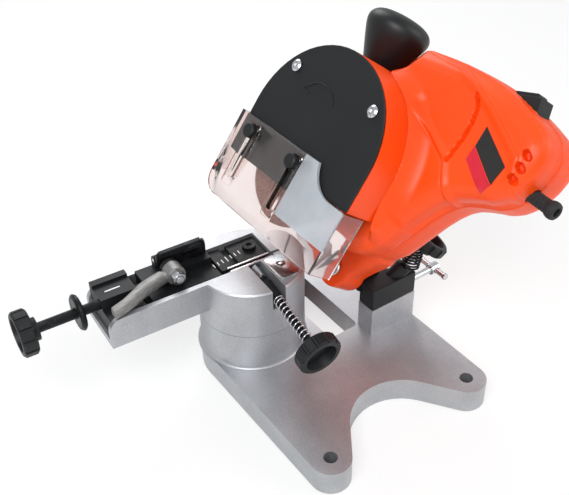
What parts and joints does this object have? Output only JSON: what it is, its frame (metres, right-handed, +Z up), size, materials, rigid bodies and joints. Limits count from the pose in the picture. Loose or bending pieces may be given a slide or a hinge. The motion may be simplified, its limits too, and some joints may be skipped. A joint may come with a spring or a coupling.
{
  "type": "electric chainsaw sharpener",
  "caption": "Bench electric chainsaw sharpener: cast base, swivelling chain vise with feed and clamp screws, and a tilted, sprung grinding head with guard, visor, handle and switch.",
  "frame": {"origin": "on the bench plane, under the middle of the outline's bounding box", "axes": "+Z up; +X along the chain's run towards the hinge post; -Y towards the two bolt-down ears at the front"},
  "size_m": [0.3582, 0.2386, 0.26],
  "materials": {
    "black_plastic": "fine moulded",
    "blackened_steel": "blackened",
    "bright_steel": "bright turned",
    "cast_aluminium": "satin casting",
    "clear_polycarbonate": "clear",
    "gland_rubber": "matt",
    "grinding_stone": "bonded abrasive",
    "orange_abs": "fine moulded",
    "winding_copper": "enamelled winding",
    "zinc_lever": "cast zinc"
  },
  "bodies": {
    "base": {"base_casting": "cast_aluminium", "hinge_bracket": "black_plastic", "hinge_pin": "bright_steel", "bracket_bolt_left": "bright_steel", "bracket_bolt_right": "bright_steel", "swivel_bolt": "bright_steel", "swivel_nut": "bright_steel", "swivel_washer": "bright_steel", "return_spring": "bright_steel", "stop_spring": "blackened_steel"},
    "vise": {"vise_body": "cast_aluminium", "rear_rail": "bright_steel", "clamp_jaw": "bright_steel", "guide_block": "black_plastic", "guide_screw": "blackened_steel", "clamp_collar": "black_plastic", "clamp_spring": "bright_steel", "end_block": "black_plastic"},
    "carriage": {"carriage": "black_plastic", "lever_stud": "bright_steel", "lever_nut": "bright_steel", "pawl_pin": "bright_steel"},
    "lever": {"hold_down_lever": "zinc_lever"},
    "pawl": {"stop_pawl": "blackened_steel"},
    "feed_screw": {"feed_screw": "blackened_steel", "lock_nut": "blackened_steel"},
    "feed_knob": {"feed_knob": "black_plastic"},
    "clamp_screw": {"clamp_screw": "bright_steel"},
    "clamp_knob": {"clamp_knob": "black_plastic"},
    "head": {"front_shell": "orange_abs", "rear_shell": "orange_abs", "guard_body": "black_plastic", "guard_cover": "black_plastic", "cover_screw_left": "bright_steel", "cover_screw_right": "bright_steel", "visor_knob_left": "black_plastic", "visor_knob_right": "black_plastic", "handle": "black_plastic", "switch_bezel": "black_plastic", "cable_gland": "gland_rubber", "stator": "winding_copper", "spindle_bearing_front": "bright_steel", "spindle_bearing_rear": "bright_steel", "motor_bearing_front": "bright_steel", "motor_bearing_rear": "bright_steel"},
    "visor": {"visor": "clear_polycarbonate"},
    "wheel": {"grinding_wheel": "grinding_stone", "inner_flange": "bright_steel", "outer_flange": "bright_steel", "spindle_nut": "bright_steel", "spindle": "bright_steel", "bevel_gear": "bright_steel"},
    "armature": {"armature": "blackened_steel", "pinion": "bright_steel", "cooling_fan": "black_plastic"},
    "rocker": {"switch_rocker": "black_plastic"},
    "stop_screw": {"stop_screw": "bright_steel"},
    "stop_knob": {"stop_knob": "black_plastic"},
    "tbar_screw": {"tbar_screw": "bright_steel"},
    "tbar_bar": {"tbar_bar": "bright_steel"}
  },
  "joints": [
    {"name": "vise_swivel", "type": "hinge", "parent": "base", "child": "vise", "pos_m": [-0.00038, 0.05593, 0.054], "axis": [0, 0, 1], "range_deg": [-31.5, 38.5]},
    {"name": "carriage_slide", "type": "slide", "parent": "vise", "child": "carriage", "axis": [-0.9981, 0.061, 0], "range_m": [0, 0.006]},
    {"name": "lever_pivot", "type": "hinge", "parent": "carriage", "child": "lever", "pos_m": [-0.05754, 0.07145, 0.1005], "axis": [0.061, 0.9981, 0], "range_deg": [0, 70]},
    {"name": "pawl_pivot", "type": "hinge", "parent": "carriage", "child": "pawl", "pos_m": [-0.04346, 0.08862, 0.1038], "axis": [-0.9981, 0.061, 0], "range_deg": [0, 60]},
    {"name": "feed_slide", "type": "slide", "parent": "vise", "child": "feed_screw", "axis": [-0.9981, 0.061, 0], "range_m": [0, 0.006]},
    {"name": "feed_spin", "type": "hinge", "parent": "feed_screw", "child": "feed_knob", "pos_m": [-0.16316, 0.08092, 0.0948], "axis": [-0.9981, 0.061, 0], "range_deg": [0, 1440]},
    {"name": "clamp_slide", "type": "slide", "parent": "vise", "child": "clamp_screw", "axis": [-0.0599, -0.9788, -0.1959], "range_m": [0, 0.005]},
    {"name": "clamp_spin", "type": "hinge", "parent": "clamp_screw", "child": "clamp_knob", "pos_m": [0.00092, 0.05585, 0.0912], "axis": [-0.0599, -0.9788, -0.1959], "range_deg": [0, 1440]},
    {"name": "head_swing", "type": "hinge", "parent": "base", "child": "head", "pos_m": [0.01477, 0.02293, 0.11469], "axis": [-0.7955, 0, 0.606], "range_deg": [0, 24], "stiffness_Nm_per_rad": 1},
    {"name": "visor_slide", "type": "slide", "parent": "head", "child": "visor", "axis": [0.606, 0, 0.7955], "range_m": [0, 0.03]},
    {"name": "armature_spin", "type": "hinge", "parent": "head", "child": "armature", "pos_m": [0.08916, 0.05293, 0.13973], "axis": [0.2864, -0.8813, 0.3759], "continuous": true},
    {"name": "wheel_spin", "type": "hinge", "parent": "head", "child": "wheel", "pos_m": [0.05416, 0.05293, 0.16639], "axis": [0.7955, 0, -0.606], "continuous": true},
    {"name": "rocker_tilt", "type": "hinge", "parent": "head", "child": "rocker", "pos_m": [0.15404, -0.05848, 0.22489], "axis": [0.7955, 0, -0.606], "range_deg": [-8, 8]},
    {"name": "stop_slide", "type": "slide", "parent": "base", "child": "stop_screw", "axis": [0.5853, -0.2588, 0.7684], "range_m": [0, 0.005]},
    {"name": "stop_spin", "type": "hinge", "parent": "stop_screw", "child": "stop_knob", "pos_m": [0.10542, 0.00393, 0.0662], "axis": [0.5853, -0.2588, 0.7684], "range_deg": [0, 1440]},
    {"name": "tbar_spin", "type": "hinge", "parent": "base", "child": "tbar_screw", "pos_m": [0.14562, 0.00393, 0.0517], "axis": [1, 0, 0], "continuous": true},
    {"name": "tbar_bar_slide", "type": "slide", "parent": "tbar_screw", "child": "tbar_bar", "axis": [0, 1, 0], "range_m": [-0.007, 0.007]}
  ],
  "couplings": [
    {"joint": "carriage_slide", "follows": "feed_slide", "ratio": 1},
    {"joint": "feed_spin", "follows": "feed_slide", "rad_per_m": 4188.8},
    {"joint": "clamp_spin", "follows": "clamp_slide", "rad_per_m": 5026.5},
    {"joint": "stop_spin", "follows": "stop_slide", "rad_per_m": 5026.5},
    {"joint": "wheel_spin", "follows": "armature_spin", "ratio": -0.25}
  ]
}
